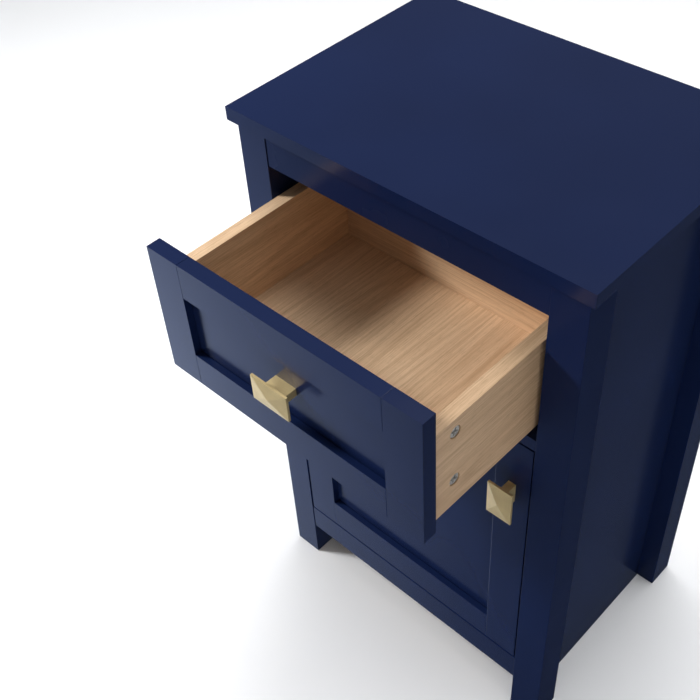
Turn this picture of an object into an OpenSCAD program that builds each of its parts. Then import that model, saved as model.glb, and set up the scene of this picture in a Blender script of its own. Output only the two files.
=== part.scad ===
// Bathroom vanity cabinet: four posts, a painted top, one inset drawer over one inset door.
// Millimetres, +Z up, front towards -Y, floor at Z = 0. The drawer is drawn partly open.

/* [Body] */
// Width over the posts
body_w = 500; // [420:5:620]
// Depth over the posts
body_d = 360; // [340:5:450]
// Height of the posts
post_h = 832; // [780:1:900]
// Width and depth of a post
post = 46; // [40:1:56]
// How far the side panels sit in from the posts' outer faces
side_recess = 28; // [20:1:29]
// Thickness of boards
board = 18; // [15:1:20]
// Thickness of the back panel
back_t = 6; // [3:1:9]

/* [Top] */
// Thickness of the top
top_t = 18; // [15:1:25]
// Overhang of the top in front of the posts
top_over_front = 8; // [0:1:25]
// Overhang of the top beyond each side
top_over_side = 9; // [0:1:25]

/* [Rails] */
// Height of the apron under the top
apron_h = 47; // [30:1:60]
// Height of the drawer opening
drawer_open_h = 191; // [170:1:220]
// Height of the bottom rail
bottom_rail_h = 49; // [30:1:70]
// Clear height under the bottom rail
leg_open = 72; // [50:1:120]
// How far the rails, door and drawer front sit behind the posts' front faces
set_back = 1; // [0:0.5:4]
// Gap all round the drawer front and the door
gap = 2.5; // [2:0.5:4]

/* [Frames] */
// Thickness of the door and the drawer front
front_t = 19; // [18:1:22]
// Width of the stiles
stile_w = 51; // [40:1:60]
// Height of the drawer front's rails
drawer_rail_h = 48; // [35:1:55]
// Height of the door's rails
door_rail_h = 53; // [40:1:65]
// How far the panels sit behind the frames' faces
panel_recess = 9; // [6:0.5:10]
// Thickness of the panels
panel_t = 6; // [4:0.5:7]

/* [Drawer] */
// How far the drawer is drawn out
drawer_out = 189; // [60:1:280]
// Height of the drawer box
box_h = 132; // [100:1:135]
// Length of the drawer box
box_l = 288; // [260:1:290]
// Thickness of the drawer box's sides and back
box_t = 17; // [14:1:19]
// Thickness of the drawer's bottom
box_bottom_t = 9; // [6:1:9]
// Gap between the drawer box and the cabinet's side
box_gap = 6.5; // [6:0.5:8]

/* [Knobs] */
// Long side of a knob's plate
knob_l = 55; // [40:1:60]
// Short side of a knob's plate
knob_s = 36; // [25:1:40]
// Height of a knob up to the edge of its plate
knob_h = 25; // [20:1:30]
// Rise of the low pyramid on the plate
knob_rise = 4; // [2:0.5:6]
// Distance from the door's top edge to its knob
door_knob_drop = 91; // [60:1:140]

/* [Hidden] */
$fn = 48;

navy = "#24335f";
oak = "#dcb384";
ply = "#d9bd93";
steel = "silver";
gold = "#d0b483";

// Inside half-width between the posts and between the side panels
half_in = body_w / 2 - post;
// Y of the posts' front faces, which puts the origin midway between the knob's tip and the back
knob_out = knob_h + knob_rise - panel_recess;
front_y = (drawer_out + knob_out - set_back - body_d) / 2;
back_y = front_y + body_d;
// Y of the faces of the rails, the door and the closed drawer front
face_y = front_y + set_back;
frame_back_y = face_y + front_t;
back_panel_y = back_y - board - back_t;

// Heights above the floor
apron_z = post_h - apron_h;
mid_top_z = apron_z - drawer_open_h;
mid_z = mid_top_z - board;
bottom_top_z = leg_open + bottom_rail_h;
shelf_z = (mid_z + bottom_top_z) / 2 - board / 2;

// Drawer, as drawn out
drawer_y = face_y - drawer_out;
drawer_back_y = drawer_y + front_t;
// Gap above and below the drawer front and the door
level_gap = gap + 0.5;
drawer_z = mid_top_z + level_gap;
drawer_front_h = drawer_open_h - 2 * level_gap;
front_w = 2 * (half_in - gap);
box_half = half_in - box_gap;
// Rise of the drawer box above the middle rail, and of its floor above its sides' lower edges
box_rise = 16.5;
floor_rise = 23.5;
box_z = mid_top_z + box_rise;
box_floor_z = box_z + floor_rise;
// Depth of the panel grooves, and the solid wood left at a stile's ends
groove = 6;
shoulder = 10;
rail_x = front_w / 2 - stile_w;
// Cam locks: their heights, and how far they sit behind the drawer front
cam_zs = [box_z + 39.5, box_z + 112.5];
cam_in = 34;
cam_r = 7.2;
cam_sink = 1.2;

// Door
door_z = bottom_top_z + level_gap;
door_h = mid_z - door_z - level_gap;
door_knob_at = [front_w / 2 - stile_w / 2, face_y, door_z + door_h - door_knob_drop];

// Boards across the top, front and rear, and the screws up through them
stretcher_w = 60;
stretcher_ys = [face_y + board + stretcher_w / 2, back_y - board - stretcher_w / 2];
top_screw_xs = [-1, 1] * half_in * 0.7;
top_screw_hole_r = 2.1;

// Pins under the shelf
pin_in = 80;
pin_r = 2.5;
pin_ys = [front_y + pin_in, back_y - pin_in];

// Concealed slides
slide_l = 310;
slide_y = frame_back_y + 2;
middle_l = 284;
sheet = 1.5;
runner_x = [half_in - 56, half_in - 26];
slide_screw_in = 33;
slide_screw_ys = [front_y + slide_screw_in, back_y - slide_screw_in];
slide_screw_z = mid_top_z + 30;
slide_screw_grip = 14;

// Concealed door hinges, which turn about a line just in front of the door's left edge
pivot_x = -half_in + 1.5;
pivot_y = front_y;
cup_r = 17.5;
cup_depth = 12.5;
cup_x = -half_in + gap + 22.5;
door_back_y = face_y + front_t;
hinge_in = 80;
hinge_zs = [door_z + hinge_in, door_z + door_h - hinge_in];
cup_screw_dzs = [-24, 24];
plate_screw_dzs = [-16, 16];
plate_y = front_y + 58;
arc_r = [22, 24.5];

module box(from, to) {
    translate(from)
        cube(to - from);
}

// A cylinder from a point along +X
module rod_x(p, r, l) {
    translate(p)
        rotate([0, 90, 0])
            cylinder(r = r, h = l);
}
// A cylinder from a point along +Y
module rod_y(p, r, l) {
    translate(p)
        rotate([-90, 0, 0])
            cylinder(r = r, h = l);
}

// A countersunk cross-head screw along +Z with its head's face at the origin
module wood_screw(r, head_r, l) {
    difference() {
        union() {
            cylinder(r1 = head_r, r2 = r, h = head_r - r);
            cylinder(r = r, h = l);
        }
        for (a = [0, 90])
            rotate(a)
                translate([-head_r * 0.6, -0.4, -1])
                    cube([head_r * 1.2, 0.8, 2]);
    }
}

// Body

module top_panel() {
    color(navy)
        difference() {
            box([-body_w / 2 - top_over_side, front_y - top_over_front, post_h],
                [body_w / 2 + top_over_side, back_y, post_h + top_t]);
            for (x = top_screw_xs, y = stretcher_ys)
                translate([x, y, post_h - 1])
                    cylinder(r = top_screw_hole_r, h = 13);
        }
}

module post_at(side, y) {
    color(navy)
        translate([side > 0 ? half_in : -half_in - post, y, 0])
            cube([post, post, post_h]);
}

module side_panel(side) {
    x = side > 0 ? half_in : -body_w / 2 + side_recess;
    color(navy)
        difference() {
            translate([x, front_y + post, 0])
                cube([post - side_recess, body_d - 2 * post, post_h]);
            // Holes for the shelf's pins
            for (y = pin_ys)
                rod_x([side * half_in - 8, y, shelf_z - pin_r], pin_r + 0.05, 16);
            // Holes for the hinge plates' screws
            if (side < 0)
                for (z = hinge_zs, dz = plate_screw_dzs)
                    rod_x([-half_in - 10, plate_y, z + dz], 1.8, 11);
        }
}

module back_panel() {
    color(ply)
        box([-half_in, back_panel_y, bottom_top_z], [half_in, back_panel_y + back_t, post_h - board]);
}

// A rail across the front between the posts
module front_rail(z, h, depth) {
    color(navy)
        box([-half_in, face_y, z], [half_in, face_y + depth, z + h]);
}

module rear_rail(z, h) {
    color(ply)
        box([-half_in, back_y - board, z], [half_in, back_y, z + h]);
}

module bottom_panel() {
    color(ply)
        box([-half_in, face_y + board, bottom_top_z - board], [half_in, back_y - board, bottom_top_z]);
}

module stretcher(y) {
    color(ply)
        difference() {
            box([-half_in, y - stretcher_w / 2, post_h - board], [half_in, y + stretcher_w / 2, post_h]);
            for (x = top_screw_xs)
                translate([x, y, post_h - board - 1]) {
                    cylinder(r = top_screw_hole_r, h = board + 2);
                    translate([0, 0, 0.999])
                        cylinder(r1 = 4.4, r2 = top_screw_hole_r, h = 2.4);
                }
        }
}

module top_screws() {
    color(steel)
        for (x = top_screw_xs, y = stretcher_ys)
            translate([x, y, post_h - board + 0.2])
                wood_screw(2, 4, 28);
}

// Shelf on four pins

module shelf() {
    color(ply)
        box([-half_in + 1.5, frame_back_y + 12, shelf_z],
            [half_in - 1.5, back_panel_y - 3, shelf_z + board]);
}

module shelf_pins() {
    color(steel)
        for (side = [-1, 1], y = pin_ys)
            translate([side * (half_in - 9), y, shelf_z - pin_r])
                rotate([0, side * 90, 0])
                    cylinder(r = pin_r, h = 16.5);
}

// Slides: a rail on the posts, a middle member, and a runner under the drawer, per side

module slide_rail(side) {
    z = mid_top_z + 2;
    color(steel)
        scale([side, 1, 1])
            difference() {
                union() {
                    box([runner_x[0] + 2, slide_y, z], [half_in, slide_y + slide_l, z + sheet]);
                    box([half_in - sheet, slide_y, z], [half_in, slide_y + slide_l, z + 38]);
                    for (x = [runner_x[0] + 8, runner_x[0] + 20])
                        box([x, slide_y, z], [x + sheet, slide_y + slide_l, z + 20]);
                }
                for (y = slide_screw_ys)
                    rod_x([half_in - 5, y, slide_screw_z], 2.1, 10);
            }
}

module slide_screws() {
    color(steel)
        for (side = [-1, 1], y = slide_screw_ys)
            translate([side * (half_in - sheet - 2), y, slide_screw_z])
                rotate([0, side * 90, 0]) {
                    cylinder(r = 3.6, h = 2);
                    cylinder(r = 2, h = 2 + sheet + slide_screw_grip);
                }
}

// An inverted channel along Y
module channel(x0, x1, y, l, z0, z1) {
    box([x0, y, z1 - sheet], [x1, y + l, z1]);
    box([x0, y, z0], [x0 + sheet, y + l, z1]);
    box([x1 - sheet, y, z0], [x1, y + l, z1]);
}

module slide_middle(side) {
    color(steel)
        scale([side, 1, 1])
            channel(runner_x[0] + 3.5, runner_x[1] - 3.5, slide_y + 2 - drawer_out / 2, middle_l,
                mid_top_z + 6, box_floor_z - box_bottom_t - 3);
}

module slide_runner(side) {
    color(steel)
        scale([side, 1, 1])
            channel(runner_x[0], runner_x[1], drawer_back_y + 0.5, box_l - 1,
                box_floor_z - box_bottom_t - 13, box_floor_z - box_bottom_t);
}

// Frames: a stile or rail with a groove for the panel on its inner edge

module stile(x0, y, z, h, groove_x) {
    difference() {
        box([x0, y, z], [x0 + stile_w, y + front_t, z + h]);
        box([groove_x, y + panel_recess, z + shoulder],
            [groove_x + groove, y + panel_recess + panel_t, z + h - shoulder]);
    }
}

// A rail with a tongue at each end that fills the stiles' grooves. Its panel is above or below it.
module rail(y, z, h, panel_above) {
    tongue_z = panel_above ? z + shoulder : z;
    groove_z = panel_above ? z + h - groove : z;
    difference() {
        union() {
            box([-rail_x, y, z], [rail_x, y + front_t, z + h]);
            box([-rail_x - groove, y + panel_recess, tongue_z],
                [rail_x + groove, y + panel_recess + panel_t, tongue_z + h - shoulder]);
        }
        box([-rail_x - groove - 1, y + panel_recess, groove_z],
            [rail_x + groove + 1, y + panel_recess + panel_t, groove_z + groove]);
    }
}

module frame_stile(side, y, z, h) {
    x0 = side > 0 ? rail_x : -rail_x - stile_w;
    stile(x0, y, z, h, side > 0 ? rail_x : -rail_x - groove);
}

module frame_panel(y, z, h, rail_h) {
    box([-rail_x - groove, y + panel_recess, z + rail_h - groove],
        [rail_x + groove, y + panel_recess + panel_t, z + h - rail_h + groove]);
}

// Drawer

module drawer_stile(side) {
    color(navy)
        difference() {
            frame_stile(side, drawer_y, drawer_z, drawer_front_h);
            for (z = cam_zs)
                rod_y([side * (box_half - box_t / 2), drawer_back_y - 11, z], 2.6, 12);
        }
}

module drawer_rail_top() {
    color(navy)
        rail(drawer_y, drawer_z + drawer_front_h - drawer_rail_h, drawer_rail_h, false);
}

module drawer_rail_bottom() {
    color(navy)
        rail(drawer_y, drawer_z, drawer_rail_h, true);
}

module drawer_front_panel() {
    color(navy)
        difference() {
            frame_panel(drawer_y, drawer_z, drawer_front_h, drawer_rail_h);
            rod_y([0, drawer_y, drawer_z + drawer_front_h / 2], 2.3, front_t);
        }
}

module drawer_side(side) {
    x0 = side > 0 ? box_half - box_t : -box_half;
    inner = side > 0 ? x0 : x0 + box_t - groove;
    color(oak)
        difference() {
            box([x0, drawer_back_y, box_z], [x0 + box_t, drawer_back_y + box_l, box_z + box_h]);
            box([inner, drawer_back_y - 1, box_floor_z - box_bottom_t],
                [inner + groove, drawer_back_y + box_l - box_t, box_floor_z]);
            for (z = cam_zs) {
                translate([side * box_half, drawer_back_y + cam_in, z])
                    rotate([0, -side * 90, 0])
                        cylinder(r = cam_r + 0.8, h = 12.5);
                rod_y([side * (box_half - box_t / 2), drawer_back_y - 1, z], 3.1, cam_in - 3);
            }
        }
}

module drawer_back() {
    y = drawer_back_y + box_l - box_t;
    color(oak)
        box([-box_half + box_t, y, box_floor_z - box_bottom_t],
            [box_half - box_t, y + box_t, box_z + box_h]);
}

module drawer_bottom() {
    color(oak)
        box([-box_half + box_t - groove, drawer_back_y, box_floor_z - box_bottom_t],
            [box_half - box_t + groove, drawer_back_y + box_l - box_t, box_floor_z]);
}

// Cross-slotted cams in the drawer's sides, each open at its inner end for the head of its bolt
module cam_locks() {
    color(steel)
        for (side = [-1, 1], z = cam_zs)
            translate([side * (box_half - cam_sink), drawer_back_y + cam_in, z])
                rotate([0, -side * 90, 0])
                    difference() {
                        cylinder(r = cam_r, h = 10.8);
                        for (a = [20, 110])
                            rotate(a)
                                translate([-5, -1.2, -1])
                                    cube([10, 2.4, 3.6]);
                        translate([-3.4, -10, 4.2])
                            cube([6.8, 12, 10]);
                    }
}

module cam_bolts() {
    color(steel)
        for (side = [-1, 1], z = cam_zs)
            translate([side * (box_half - box_t / 2), 0, z]) {
                rod_y([0, drawer_back_y - 10, 0], 2.5, 10);
                rod_y([0, drawer_back_y, 0], 3, cam_in);
            }
}

// Catches that lock the drawer's front corners to its runners
module drawer_clips() {
    color("darkorange")
        for (side = [-1, 1])
            scale([side, 1, 1])
                difference() {
                    box([runner_x[0] - 18, drawer_back_y + 4, box_floor_z - box_bottom_t - 12],
                        [runner_x[0] - 0.3, drawer_back_y + 44, box_floor_z - box_bottom_t]);
                    box([runner_x[0] - 19, drawer_back_y + 12, box_floor_z - box_bottom_t - 13],
                        [runner_x[0] - 9, drawer_back_y + 34, box_floor_z - box_bottom_t - 4]);
                }
}

// Knob with its foot on y = 0, pointing to -Y, long side along X
module knob() {
    stem_l = 31;
    stem_s = 11;
    plate_edge = 3;
    color(gold)
        difference() {
            union() {
                box([-stem_l / 2, -knob_h + plate_edge, -stem_s / 2], [stem_l / 2, 0, stem_s / 2]);
                box([-knob_l / 2, -knob_h, -knob_s / 2], [knob_l / 2, -knob_h + plate_edge, knob_s / 2]);
                // Four low facets, where two ridged prisms meet
                translate([0, -knob_h, 0])
                    intersection() {
                        translate([0, 0, -knob_s / 2])
                            linear_extrude(knob_s)
                                polygon([[-knob_l / 2, 0], [0, -knob_rise], [knob_l / 2, 0]]);
                        translate([-knob_l / 2, 0, 0])
                            rotate([90, 0, 90])
                                linear_extrude(knob_l)
                                    polygon([[0, knob_s / 2], [-knob_rise, 0], [0, -knob_s / 2]]);
                    }
            }
            rod_y([0, -16, 0], 2.05, 17);
        }
}

// Machine screw from behind into a knob
module knob_screw(reach) {
    color(steel) {
        rod_y([0, -14, 0], 2, 14 + reach);
        difference() {
            rod_y([0, reach, 0], 4, 2.6);
            for (a = [0, 90])
                rotate([0, a, 0])
                    translate([-2.6, reach + 1.4, -0.5])
                        cube([5.2, 2, 1]);
        }
    }
}

module drawer_knob() {
    translate([0, drawer_y + panel_recess, drawer_z + drawer_front_h / 2])
        knob();
}

module drawer_knob_screw() {
    translate([0, drawer_y + panel_recess, drawer_z + drawer_front_h / 2])
        knob_screw(panel_t);
}

// Door

module door_stile(side) {
    color(navy)
        difference() {
            frame_stile(side, face_y, door_z, door_h);
            if (side > 0)
                rod_y(door_knob_at - [0, 1, 0], 2.3, front_t + 2);
            else
                for (z = hinge_zs) {
                    rod_y([cup_x, door_back_y - cup_depth, z], cup_r, cup_depth + 1);
                    for (dz = cup_screw_dzs)
                        rod_y([cup_x, door_back_y - 10, z + dz], 1.6, 11);
                }
        }
}

module door_rail_top() {
    color(navy)
        rail(face_y, door_z + door_h - door_rail_h, door_rail_h, false);
}

module door_rail_bottom() {
    color(navy)
        rail(face_y, door_z, door_rail_h, true);
}

module door_panel() {
    color(navy)
        frame_panel(face_y, door_z, door_h, door_rail_h);
}

module door_knob() {
    translate(door_knob_at)
        rotate([0, 90, 0])
            knob();
}

module door_knob_screw() {
    translate(door_knob_at)
        knob_screw(front_t);
}

// Hinges

module hinge_cups() {
    flange_t = 1.2;
    color(steel)
        for (z = hinge_zs)
            difference() {
                union() {
                    rod_y([cup_x, door_back_y - cup_depth, z], cup_r, cup_depth);
                    difference() {
                        box([cup_x - 11, door_back_y, z - 31],
                            [cup_x + 11, door_back_y + flange_t, z + 31]);
                        for (dz = cup_screw_dzs)
                            rod_y([cup_x, door_back_y - 1, z + dz], 1.8, 4);
                    }
                }
                rod_y([cup_x, door_back_y - cup_depth + 0.8, z], cup_r - 1, cup_depth + 2);
                box([cup_x - 20, door_back_y, z - 7], [cup_x, door_back_y + 3, z + 7]);
            }
}

module hinge_cup_screws() {
    color(steel)
        for (z = hinge_zs, dz = cup_screw_dzs)
            translate([cup_x, door_back_y + 1.2, z + dz]) {
                rod_y([0, -10, 0], 1.5, 10);
                rod_y([0, 0, 0], 3.2, 1.6);
            }
}

module hinge_plates() {
    color(steel)
        for (z = hinge_zs)
            difference() {
                union() {
                    box([-half_in, plate_y - 20, z - 5], [-half_in + 3, plate_y + 20, z + 5]);
                    box([-half_in, plate_y - 6, z - 22], [-half_in + 3, plate_y + 6, z + 22]);
                }
                for (dz = plate_screw_dzs)
                    rod_x([-half_in - 1, plate_y, z + dz], 2.1, 6);
            }
}

module hinge_plate_screws() {
    color(steel)
        for (z = hinge_zs, dz = plate_screw_dzs)
            translate([-half_in + 3, plate_y, z + dz]) {
                rod_x([-12, 0, 0], 1.7, 12);
                rod_x([0, 0, 0], 3.6, 1.6);
            }
}

// A curved bar about the door's pivot line, from one angle to another, seen from above
module arc_bar(z0, z1, a0, a1) {
    translate([pivot_x, pivot_y, z0])
        rotate(a0)
            rotate_extrude(angle = a1 - a0, $fn = 96)
                translate([arc_r[0], 0])
                    square([arc_r[1] - arc_r[0], z1 - z0]);
}

module hinge_arms() {
    color(steel)
        for (z = hinge_zs) {
            box([-half_in + 3, door_back_y + 5, z - 7], [-half_in + 11, plate_y + 22, z + 7]);
            arc_bar(z - 1.2, z + 1.2, 27, 82);
            box([-half_in + 3, door_back_y + 2, z - 1.2], [-half_in + 6, door_back_y + 6, z + 1.2]);
        }
}

module hinge_links(z_in, z_out) {
    color(steel)
        for (z = hinge_zs) {
            arc_bar(z + z_in, z + z_out, 27, 66);
            arc_bar(z - z_out, z - z_in, 27, 66);
        }
}

top_panel();
post_at(-1, front_y);  // post_front_left
post_at(1, front_y);  // post_front_right
post_at(-1, back_y - post);  // post_rear_left
post_at(1, back_y - post);  // post_rear_right
side_panel(-1);  // side_panel_left
side_panel(1);  // side_panel_right
back_panel();
front_rail(apron_z, apron_h, board);  // apron_rail
front_rail(mid_z, board, 3 * board);  // middle_rail
front_rail(leg_open, bottom_rail_h, board);  // bottom_rail
rear_rail(apron_z, apron_h);  // rear_top_rail
rear_rail(leg_open, bottom_rail_h);  // rear_bottom_rail
bottom_panel();
stretcher(stretcher_ys[0]);  // front_stretcher
stretcher(stretcher_ys[1]);  // rear_stretcher
top_screws();
shelf();
shelf_pins();
slide_rail(-1);  // slide_rail_left
slide_rail(1);  // slide_rail_right
slide_screws();
slide_middle(-1);  // slide_middle_left
slide_middle(1);  // slide_middle_right
slide_runner(-1);  // slide_runner_left
slide_runner(1);  // slide_runner_right
drawer_stile(-1);  // drawer_stile_left
drawer_stile(1);  // drawer_stile_right
drawer_rail_top();
drawer_rail_bottom();
drawer_front_panel();
drawer_side(-1);  // drawer_side_left
drawer_side(1);  // drawer_side_right
drawer_back();
drawer_bottom();
cam_locks();
cam_bolts();
drawer_clips();
drawer_knob();
drawer_knob_screw();
door_stile(-1);  // door_stile_left
door_stile(1);  // door_stile_right
door_rail_top();
door_rail_bottom();
door_panel();
door_knob();
door_knob_screw();
hinge_cups();
hinge_cup_screws();
hinge_plates();
hinge_plate_screws();
hinge_arms();
hinge_links(1.5, 3);  // hinge_links_inner
hinge_links(3.3, 4.8);  // hinge_links_outer
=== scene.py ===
"""The looks of the bathroom vanity cabinet: paint, oak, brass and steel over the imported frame."""

import math

import bpy
from mathutils import Matrix, Vector


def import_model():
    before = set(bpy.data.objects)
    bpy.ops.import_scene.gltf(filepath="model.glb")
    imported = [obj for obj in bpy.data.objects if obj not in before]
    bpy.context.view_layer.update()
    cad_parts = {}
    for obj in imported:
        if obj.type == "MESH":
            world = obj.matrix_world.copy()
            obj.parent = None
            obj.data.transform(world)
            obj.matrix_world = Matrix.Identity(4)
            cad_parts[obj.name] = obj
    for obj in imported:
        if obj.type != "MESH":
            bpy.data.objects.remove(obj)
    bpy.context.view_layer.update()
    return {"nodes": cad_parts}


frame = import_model()
nodes = frame["nodes"]

# Camera: place in metres, heading and tilt in degrees
CAMERA_AT = Vector((0.632, -0.751, 1.517))
CAMERA_AZIMUTH = 46.8
CAMERA_ELEVATION = 44.35
CAMERA_ROLL = -4.5
CAMERA_LENS = 55.2

# Colours, linear
NAVY = (0.0076, 0.0172, 0.068)
OAK_PALE = (0.91, 0.66, 0.435)
OAK_MID = (0.82, 0.57, 0.355)
OAK_DARK = (0.47, 0.27, 0.135)
PLY_PALE = (0.70, 0.53, 0.36)
PLY_MID = (0.62, 0.45, 0.29)
PLY_DARK = (0.46, 0.31, 0.18)
BRASS = (0.97, 0.77, 0.40)
BRASS_DARK = (0.88, 0.68, 0.34)
ZINC = (0.60, 0.61, 0.62)
ZINC_DARK = (0.42, 0.43, 0.44)
CAST_ZINC = (0.74, 0.73, 0.70)
CAST_ZINC_DARK = (0.50, 0.49, 0.47)
CLIP_ORANGE = (0.80, 0.22, 0.03)
FLOOR_WHITE = (0.86, 0.87, 0.89)


# Node helpers


class Graph:
    """A node tree of a material or a world, built by short calls."""

    def __init__(self, host):
        host.use_nodes = True
        self.tree = host.node_tree
        self.tree.nodes.clear()

    def link(self, source, target):
        self.tree.links.new(source, target)

    def node(self, kind, **settings):
        made = self.tree.nodes.new(kind)
        for key, value in settings.items():
            setattr(made, key, value)
        return made

    def place(self, stretch=1, turn=(0, 0, 0), shift=(0, 0, 0)):
        """Object coordinates whose pattern is drawn out along one axis of the piece."""
        where = self.node("ShaderNodeTexCoord")
        mapping = self.node("ShaderNodeMapping", vector_type="TEXTURE")
        mapping.inputs["Location"].default_value = shift
        mapping.inputs["Rotation"].default_value = turn
        mapping.inputs["Scale"].default_value = (stretch, 1, 1)
        self.link(where.outputs["Object"], mapping.inputs["Vector"])
        return mapping.outputs["Vector"]

    def noise(self, vector, scale, detail=3.0, roughness=0.5, distortion=0.0):
        made = self.node("ShaderNodeTexNoise")
        made.inputs["Scale"].default_value = scale
        made.inputs["Detail"].default_value = detail
        made.inputs["Roughness"].default_value = roughness
        made.inputs["Distortion"].default_value = distortion
        self.link(vector, made.inputs["Vector"])
        return made.outputs["Fac"]

    def ramp(self, value, *stops):
        """A colour ramp; each stop is (position, colour)."""
        made = self.node("ShaderNodeValToRGB")
        points = made.color_ramp.elements
        while len(points) < len(stops):
            points.new(0.5)
        for point, (position, colour) in zip(points, stops):
            point.position = position
            point.color = (*colour, 1)
        self.link(value, made.inputs["Fac"])
        return made.outputs["Color"]

    def span(self, value, low, high, new_low, new_high):
        made = self.node("ShaderNodeMapRange", clamp=True)
        for key, number in zip(("From Min", "From Max", "To Min", "To Max"), (low, high, new_low, new_high)):
            made.inputs[key].default_value = number
        self.link(value, made.inputs["Value"])
        return made.outputs["Result"]

    def mix(self, factor, first, second, blend="MIX"):
        made = self.node("ShaderNodeMix", data_type="RGBA", blend_type=blend)
        for socket, value in ((made.inputs[0], factor), (made.inputs[6], first), (made.inputs[7], second)):
            if isinstance(value, bpy.types.NodeSocket):
                self.link(value, socket)
            elif isinstance(value, tuple):
                socket.default_value = (*value, 1)
            else:
                socket.default_value = value
        return made.outputs[2]

    def math(self, operation, first, second):
        made = self.node("ShaderNodeMath", operation=operation)
        for socket, value in zip(made.inputs, (first, second)):
            if isinstance(value, bpy.types.NodeSocket):
                self.link(value, socket)
            else:
                socket.default_value = value
        return made.outputs[0]

    def bump(self, height, distance, strength=1.0, under=None):
        made = self.node("ShaderNodeBump")
        made.inputs["Strength"].default_value = strength
        made.inputs["Distance"].default_value = distance
        self.link(height, made.inputs["Height"])
        if under is not None:
            self.link(under, made.inputs["Normal"])
        return made.outputs["Normal"]


class Finish(Graph):
    """A material's node tree, with its shader."""

    def __init__(self, name):
        self.material = bpy.data.materials.new(name)
        super().__init__(self.material)
        self.shader = self.node("ShaderNodeBsdfPrincipled")
        out = self.node("ShaderNodeOutputMaterial")
        self.link(self.shader.outputs["BSDF"], out.inputs["Surface"])

    def finish(self, colour, roughness, normal, metallic=0.0, **sockets):
        self.link(colour, self.shader.inputs["Base Color"])
        self.link(roughness, self.shader.inputs["Roughness"])
        self.link(normal, self.shader.inputs["Normal"])
        self.shader.inputs["Metallic"].default_value = metallic
        for key, value in sockets.items():
            self.shader.inputs[key.replace("_", " ")].default_value = value
        return self.material


# Turns that lay a pattern's long axis along the piece's X, Y or Z
ALONG_X = (0, 0, 0)
ALONG_Y = (0, 0, math.radians(90))
ALONG_Z = (0, math.radians(-90), 0)


def paint(name, turn, shift, roughness_low=0.17, index=1.35):
    """Sprayed satin lacquer over wood: orange peel, and a trace of grain along the piece."""
    g = Finish(name)
    flow = g.place(shift=shift)
    tone = g.noise(flow, scale=5, detail=2)
    colour = g.ramp(tone, (0.3, tuple(c * 0.93 for c in NAVY)), (0.7, tuple(c * 1.07 for c in NAVY)))
    gloss = g.noise(flow, scale=14, detail=3)
    roughness = g.span(gloss, 0.3, 0.7, roughness_low, roughness_low + 0.05)
    grain = g.noise(g.place(stretch=30, turn=turn, shift=shift), scale=420, detail=3)
    telegraph = g.bump(grain, distance=0.00002, strength=0.35)
    peel = g.noise(flow, scale=420, detail=2)
    normal = g.bump(peel, distance=0.00003, strength=0.4, under=telegraph)
    return g.finish(colour, roughness, normal, IOR=index)


# How many radians of growth rings the swirl's whole range makes
RING_COUNT = 260.0


def wood(name, colours, turn, shift, lacquer=0.42):
    """Oak: broad tone, drawn-out growth rings, fine lines and short dark pores along the piece."""
    pale, mid, dark = colours
    g = Finish(name)

    def strands(stretch, scale, detail, roughness=0.5, distortion=0.0):
        return g.noise(g.place(stretch, turn, shift), scale, detail, roughness, distortion)

    figure = strands(stretch=9, scale=11, detail=4, roughness=0.55, distortion=0.5)
    bands = strands(stretch=32, scale=75, detail=3, roughness=0.55)
    lines = strands(stretch=60, scale=600, detail=4, roughness=0.66, distortion=0.4)
    pores = strands(stretch=22, scale=1500, detail=2, roughness=0.5)
    ground = g.ramp(figure, (0.25, mid), (0.75, pale))
    swirl = strands(stretch=8, scale=6, detail=2, roughness=0.35)
    rings = g.math("SINE", g.math("MULTIPLY", swirl, RING_COUNT), 0.0)
    ringed = g.mix(g.span(rings, -0.2, 1.0, 0.0, 0.20), ground, dark)
    banded = g.mix(g.span(bands, 0.48, 0.74, 0.0, 0.16), ringed, dark)
    lined = g.mix(g.span(lines, 0.42, 0.66, 0.0, 0.46), banded, dark)
    pored = g.mix(g.span(pores, 0.58, 0.72, 0.0, 0.50), lined, tuple(c * 0.75 for c in dark))
    relief = g.math("ADD", g.span(pores, 0.56, 0.72, 1.0, 0.0), g.span(lines, 0.4, 0.7, 0.4, 0.0))
    normal = g.bump(relief, distance=0.00008, strength=0.4)
    roughness = g.span(lines, 0.3, 0.7, lacquer - 0.05, lacquer + 0.08)
    return g.finish(pored, roughness, normal, IOR=1.34)


def brass(name, turn):
    """Brushed champagne brass: fine scratches one way, with slightly darker clouding."""
    g = Finish(name)
    brushed = g.place(stretch=50, turn=turn)
    scratches = g.noise(brushed, scale=2600, detail=3, roughness=0.6)
    cloud = g.noise(g.place(), scale=60, detail=3)
    tone = g.mix(0.5, scratches, cloud)
    colour = g.ramp(tone, (0.36, BRASS_DARK), (0.62, BRASS))
    roughness = g.span(scratches, 0.3, 0.7, 0.46, 0.56)
    normal = g.bump(scratches, distance=0.00002, strength=0.35)
    return g.finish(colour, roughness, normal, metallic=0.55, Anisotropic=0.4)


def zinc(name, base, deep, low=0.28, high=0.44, metallic=1.0):
    """Zinc-plated steel with cloudy plating and fine rolling marks."""
    g = Finish(name)
    cloud = g.noise(g.place(), scale=160, detail=4, roughness=0.6)
    marks = g.noise(g.place(stretch=20, turn=ALONG_Y), scale=1500, detail=2)
    colour = g.ramp(cloud, (0.35, deep), (0.65, base))
    roughness = g.span(cloud, 0.3, 0.7, low, high)
    normal = g.bump(marks, distance=0.00001, strength=0.4)
    return g.finish(colour, roughness, normal, metallic=metallic)


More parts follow.
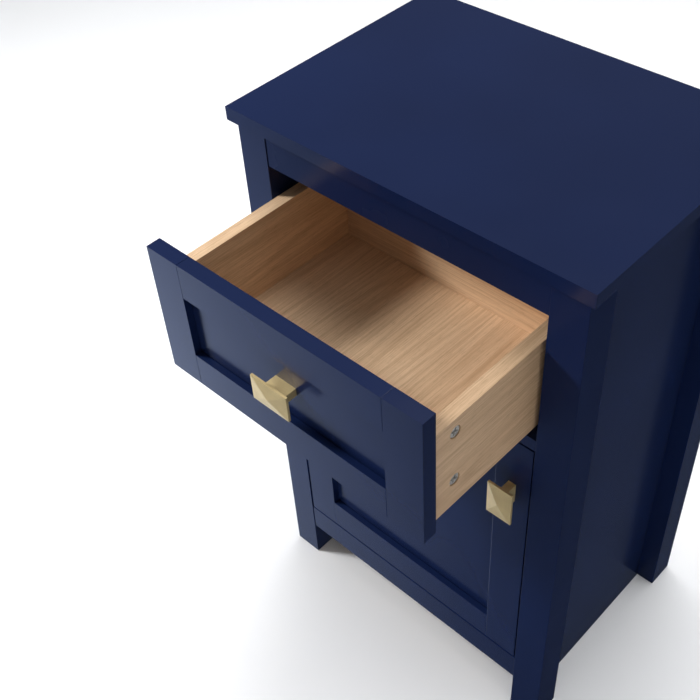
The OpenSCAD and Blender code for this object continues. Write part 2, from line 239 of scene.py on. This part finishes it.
def plastic(name, colour):
    """Moulded plastic with a fine spark-eroded texture."""
    g = Finish(name)
    skin = g.noise(g.place(), scale=2200, detail=2)
    tone = g.noise(g.place(), scale=90, detail=2)
    shade = g.ramp(tone, (0.35, tuple(c * 0.9 for c in colour)), (0.65, colour))
    return g.finish(shade, g.span(tone, 0.3, 0.7, 0.42, 0.52), g.bump(skin, distance=0.00003, strength=0.5))


# Materials on the frame's nodes


def wear(names, material):
    for name in names:
        mesh = nodes[name].data
        mesh.materials.clear()
        mesh.materials.append(material)


def shift_for(index):
    """A different stretch of the pattern for each board."""
    return (0.37 * index, 0.91 * index, 0.53 * index)


PAINTED = {
    "x": ["top_panel", "apron_rail", "middle_rail", "bottom_rail", "drawer_rail_top",
          "drawer_rail_bottom", "drawer_front_panel", "door_rail_top", "door_rail_bottom"],
    "z": ["post_front_left", "post_front_right", "post_rear_left", "post_rear_right",
          "side_panel_left", "side_panel_right", "drawer_stile_left", "drawer_stile_right",
          "door_stile_left", "door_stile_right", "door_panel"],
}
# Pieces with a duller coat: roughness and refractive index
SATIN = {"apron_rail": (0.24, 1.19), "post_front_right": (0.30, 1.16)}
TURNS = {"x": ALONG_X, "y": ALONG_Y, "z": ALONG_Z}
OAK_BOARDS = {"drawer_side_left": "y", "drawer_side_right": "y", "drawer_back": "x", "drawer_bottom": "y"}
# Painted shade: the colour of the drawer's right side darkened, standing in for the shade on its outer face
PAINTED_SHADE_TONE = {"drawer_side_right": (0.88, 0.85, 0.81)}
NO_PAINTED_SHADE = (1.0, 1.0, 1.0)
PLY_BOARDS = {"back_panel": "z", "rear_top_rail": "x", "rear_bottom_rail": "x", "bottom_panel": "x",
              "front_stretcher": "x", "rear_stretcher": "x", "shelf": "x"}
STEEL_PARTS = ["top_screws", "shelf_pins", "slide_rail_left", "slide_rail_right", "slide_screws",
               "slide_middle_left", "slide_middle_right", "slide_runner_left", "slide_runner_right",
               "cam_bolts", "drawer_knob_screw", "door_knob_screw", "hinge_cups", "hinge_cup_screws",
               "hinge_plates", "hinge_plate_screws", "hinge_arms", "hinge_links_inner",
               "hinge_links_outer"]

for axis, names in PAINTED.items():
    for index, name in enumerate(names):
        satin = SATIN.get(name, ())
        wear([name], paint(f"navy_{name}", TURNS[axis], shift_for(index), *satin))
for index, (name, axis) in enumerate(OAK_BOARDS.items()):
    # The drawer's right side takes painted shade in its oak colours; the other boards keep theirs
    tone = PAINTED_SHADE_TONE.get(name, NO_PAINTED_SHADE)
    colours = [tuple(c * t for c, t in zip(colour, tone)) for colour in (OAK_PALE, OAK_MID, OAK_DARK)]
    wear([name], wood(f"oak_{name}", colours, TURNS[axis], shift_for(index)))
for index, (name, axis) in enumerate(PLY_BOARDS.items()):
    wear([name], wood(f"ply_{name}", (PLY_PALE, PLY_MID, PLY_DARK), TURNS[axis],
                      shift_for(index + 7), lacquer=0.5))
wear(["drawer_knob"], brass("brass_drawer_knob", ALONG_X))
wear(["door_knob"], brass("brass_door_knob", ALONG_Z))
wear(STEEL_PARTS, zinc("zinc_plate", ZINC, ZINC_DARK))
wear(["cam_locks"], zinc("cast_zinc", CAST_ZINC, CAST_ZINC_DARK, low=0.38, high=0.52, metallic=0.35))
wear(["drawer_clips"], plastic("clip_plastic", CLIP_ORANGE))


# Softened edges: how far each kind of piece is rounded, in metres
EDGE_TOP = 0.0014
EDGE_STILE = 0.0013
EDGE_OAK = 0.0009
EDGE_FRAME = 0.0008
EDGE_POST = 0.0005
EDGE_PLY = 0.0005
EDGE_KNOB = 0.0005
EDGE_RAIL = 0.0004
EDGE_METAL = 0.0002
# An edge sharper than this is rounded, once points closer than this are joined
EDGE_ANGLE = math.radians(35)
JOIN_DISTANCE = 0.00001


def soften(names, width, segments=3):
    for name in names:
        piece = nodes[name]
        weld = piece.modifiers.new("join", "WELD")
        weld.merge_threshold = JOIN_DISTANCE
        bevel = piece.modifiers.new("soften", "BEVEL")
        bevel.width = width
        bevel.segments = segments
        bevel.limit_method = "ANGLE"
        bevel.angle_limit = EDGE_ANGLE
        bevel.use_clamp_overlap = True
        bevel.harden_normals = True


FRAMED = [n for n in PAINTED["x"] + PAINTED["z"] if n.startswith(("drawer", "door"))]
DRAWER_STILES = ["drawer_stile_left", "drawer_stile_right"]
soften(["top_panel"], EDGE_TOP)
soften([n for n in PAINTED["z"] if n.startswith("post")], EDGE_POST)
soften([n for n in FRAMED if n not in DRAWER_STILES], EDGE_FRAME)
soften(DRAWER_STILES, EDGE_STILE)
soften(["apron_rail", "middle_rail", "bottom_rail", "side_panel_left", "side_panel_right"], EDGE_RAIL)
soften(list(OAK_BOARDS), EDGE_OAK)
soften(list(PLY_BOARDS), EDGE_PLY, segments=2)
soften(["drawer_knob", "door_knob"], EDGE_KNOB)
soften(["slide_rail_left", "slide_rail_right", "slide_middle_left", "slide_middle_right",
        "slide_runner_left", "slide_runner_right", "drawer_clips", "cam_locks"], EDGE_METAL, segments=2)


# Floor, lights and camera

# The floor's side and how far it lies below the feet, in metres
FLOOR_SIZE = 24
FLOOR_DROP = 0.0005
# The key lamp: the point it faces, its direction from there, its distance, its size and its power in watts
STAND = Vector((0.0, -0.05, 0.7))
KEY_WAY = Vector((-1.60, -0.85, 0.98))
KEY_DISTANCE = 2.2
KEY_SIZE = 0.4
KEY_POWER = 45
# The other two lamps
OVERHEAD = {"at": (-0.2, 0.5, 3.0), "aim": (0, 0.1, 0.8), "size": 1.2, "power": 24}
FLOOR_LIGHT = {"at": (0.4, 0.6, 3.3), "aim": (0.2, 0.4, 0), "size": 4.0, "power": 108}
# The low bright patch on the left: its direction, its tint, and its strength by closeness to that way
PATCH_WAY = Vector((-0.8, -0.1, -0.75))
PATCH_TINT = (0.86, 1.0, 1.32)
PATCH_STRENGTH = 2.25
PATCH_EDGE = (0.80, 0.98)
PATCH_STEPS = ((0.0, 0.031), (0.32, 0.069), (0.48, 0.156), (0.67, 0.24), (0.80, 0.32), (0.85, 0.44),
               (0.872, 0.58), (0.944, 0.70))
# Strength of the sky to the right, behind, overhead and all round near the horizon
SKY_TINT = (1, 1, 1)
SKY_RIGHT = 0.11
SKY_BEHIND = 0.14
SKY_OVERHEAD = 0.38
SKY_LOW = 0.16


def floor():
    """A matt white floor, left out of glossy reflections."""
    bpy.ops.mesh.primitive_grid_add(x_subdivisions=FLOOR_SIZE, y_subdivisions=FLOOR_SIZE, size=FLOOR_SIZE,
                                    location=(0, 0, -FLOOR_DROP))
    ground = bpy.context.object
    ground.name = "floor"
    ground.visible_glossy = False
    g = Finish("floor_white")
    speck = g.noise(g.place(), scale=3, detail=3)
    colour = g.ramp(speck, (0.3, tuple(c * 0.985 for c in FLOOR_WHITE)), (0.7, FLOOR_WHITE))
    roughness = g.span(speck, 0.3, 0.7, 0.75, 0.85)
    normal = g.bump(speck, distance=0.0001, strength=0.1)
    ground.data.materials.append(g.finish(colour, roughness, normal))
    return ground


def area_light(name, at, aim, size, power):
    data = bpy.data.lights.new(name, "AREA")
    data.size = size
    data.energy = power
    lamp = bpy.data.objects.new(name, data)
    bpy.context.collection.objects.link(lamp)
    lamp.location = at
    lamp.rotation_euler = (Vector(aim) - Vector(at)).to_track_quat("-Z", "Y").to_euler()
    return lamp


def light_only(lamp, lit):
    """Keeps a lamp to one object."""
    group = bpy.data.collections.new(f"{lamp.name}_lights")
    group.objects.link(lit)
    lamp.light_linking.receiver_collection = group


def world():
    """A dim studio, brighter overhead, to the right and in a low patch on the left."""
    studio = bpy.data.worlds.new("studio")
    bpy.context.scene.world = studio
    g = Graph(studio)
    way = g.node("ShaderNodeTexCoord").outputs["Generated"]
    parts = g.node("ShaderNodeSeparateXYZ")
    g.link(way, parts.inputs[0])
    x, y, z = parts.outputs
    above = g.span(z, -0.06, 0.06, 0.0, 1.0)
    sky = g.math("MULTIPLY", g.math("MAXIMUM", x, 0.0), SKY_RIGHT)
    shares = ((SKY_BEHIND, g.math("MAXIMUM", y, 0.0)), (SKY_OVERHEAD, g.math("MULTIPLY", z, z)))
    for strength, share in shares:
        sky = g.math("ADD", sky, g.math("MULTIPLY", share, strength))
    sky = g.math("ADD", sky, g.span(z, 0.0, 0.4, SKY_LOW, 0.0))
    closeness = g.node("ShaderNodeVectorMath", operation="DOT_PRODUCT")
    g.link(way, closeness.inputs[0])
    closeness.inputs[1].default_value = PATCH_WAY.normalized()
    steps = [(position, (level, level, level)) for position, level in PATCH_STEPS]
    patch = g.ramp(g.span(closeness.outputs["Value"], *PATCH_EDGE, 0.0, 1.0), *steps)
    below = g.math("MULTIPLY", g.math("LESS_THAN", z, 0.0), PATCH_STRENGTH)
    both = g.node("ShaderNodeAddShader")
    glows = ((SKY_TINT, g.math("MULTIPLY", sky, above)), (PATCH_TINT, g.math("MULTIPLY", patch, below)))
    for index, (colour, level) in enumerate(glows):
        back = g.node("ShaderNodeBackground")
        back.inputs["Color"].default_value = (*colour, 1)
        g.link(level, back.inputs["Strength"])
        g.link(back.outputs[0], both.inputs[index])
    g.link(both.outputs[0], g.node("ShaderNodeOutputWorld").inputs["Surface"])


def camera():
    data = bpy.data.cameras.new("camera")
    data.sensor_width = 36
    data.lens = CAMERA_LENS
    data.clip_start = 0.01
    made = bpy.data.objects.new("camera", data)
    bpy.context.collection.objects.link(made)
    heading, tilt, roll = (math.radians(a) for a in (CAMERA_AZIMUTH, CAMERA_ELEVATION, CAMERA_ROLL))
    ahead = Vector((-math.sin(heading) * math.cos(tilt), math.cos(heading) * math.cos(tilt), -math.sin(tilt)))
    level = Vector((math.cos(heading), math.sin(heading), 0))
    upward = level.cross(ahead)
    right = math.cos(roll) * level + math.sin(roll) * upward
    top = -math.sin(roll) * level + math.cos(roll) * upward
    made.matrix_world = Matrix.Translation(CAMERA_AT) @ Matrix((right, top, -ahead)).transposed().to_4x4()
    bpy.context.scene.camera = made


ground = floor()
world()
area_light("key", STAND + KEY_WAY.normalized() * KEY_DISTANCE, STAND, KEY_SIZE, KEY_POWER)
area_light("overhead", **OVERHEAD)
light_only(area_light("floor_light", **FLOOR_LIGHT), ground)
camera()
bpy.context.scene.view_settings.view_transform = "Standard"
